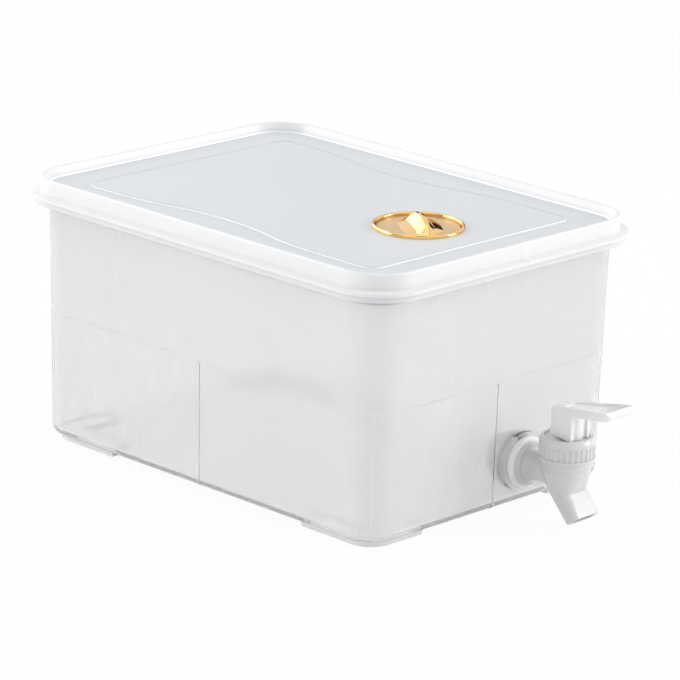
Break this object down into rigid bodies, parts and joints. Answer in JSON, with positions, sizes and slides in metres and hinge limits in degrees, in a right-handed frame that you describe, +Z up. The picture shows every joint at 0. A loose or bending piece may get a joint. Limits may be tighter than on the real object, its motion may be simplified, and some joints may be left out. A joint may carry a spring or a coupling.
{
  "type": "fridge drink dispenser",
  "caption": "Translucent lidded box for a fridge shelf, with a turning vent in its lid and a push-paddle tap low on its short face.",
  "frame": {"origin": "on the resting plane, under the centre of the whole object's box, tap included", "axes": "+Y from the tap towards the box's back, +Z up, +X to the user's right when facing the tap"},
  "size_m": [0.197, 0.3188, 0.1439],
  "materials": {
    "tank_plastic": "translucent natural polypropylene, soft gloss",
    "lid_plastic": "white moulded, satin panel and bright rim",
    "tap_plastic": "white moulded, soft gloss",
    "gold_finish": "satin gold coating with a polished rim",
    "silicone": "translucent white silicone",
    "retainer_plastic": "white moulded, matt",
    "steel": "stainless"
  },
  "bodies": {
    "tank": {"tank": "tank_plastic", "outer_washer": "silicone", "inner_washer": "silicone", "lock_nut": "tap_plastic", "tap_body": "tap_plastic", "tap_bonnet": "tap_plastic", "seat_cup": "silicone", "tap_spring": "steel"},
    "lid": {"lid": "lid_plastic", "lid_seal": "silicone", "vent_bezel": "gold_finish"},
    "vent": {"vent_dial": "gold_finish", "vent_gasket": "silicone", "vent_retainer": "retainer_plastic", "vent_screw": "steel"},
    "stem": {"tap_stem": "tap_plastic"},
    "lever": {"tap_lever": "tap_plastic"}
  },
  "joints": [
    {"name": "lid_lift", "type": "slide", "parent": "tank", "child": "lid", "axis": [0, 0, 1], "range_m": [0, 0.06]},
    {"name": "vent_turn", "type": "hinge", "parent": "lid", "child": "vent", "pos_m": [0, -0.03711, 0.13735], "axis": [0, 0, 1], "range_deg": [0, 90]},
    {"name": "stem_lift", "type": "slide", "parent": "tank", "child": "stem", "axis": [0, 0, 1], "range_m": [0, 0.0028], "deforming": ["seat_cup", "tap_spring"]},
    {"name": "lever_press", "type": "hinge", "parent": "stem", "child": "lever", "pos_m": [0.019, -0.12489, 0.051], "axis": [1, 0, 0], "range_deg": [0, 22], "stiffness_Nm_per_rad": 0.05, "springref_deg": -51.57}
  ],
  "couplings": [
    {"joint": "stem_lift", "follows": "lever_press", "m_per_rad": 0.007}
  ]
}
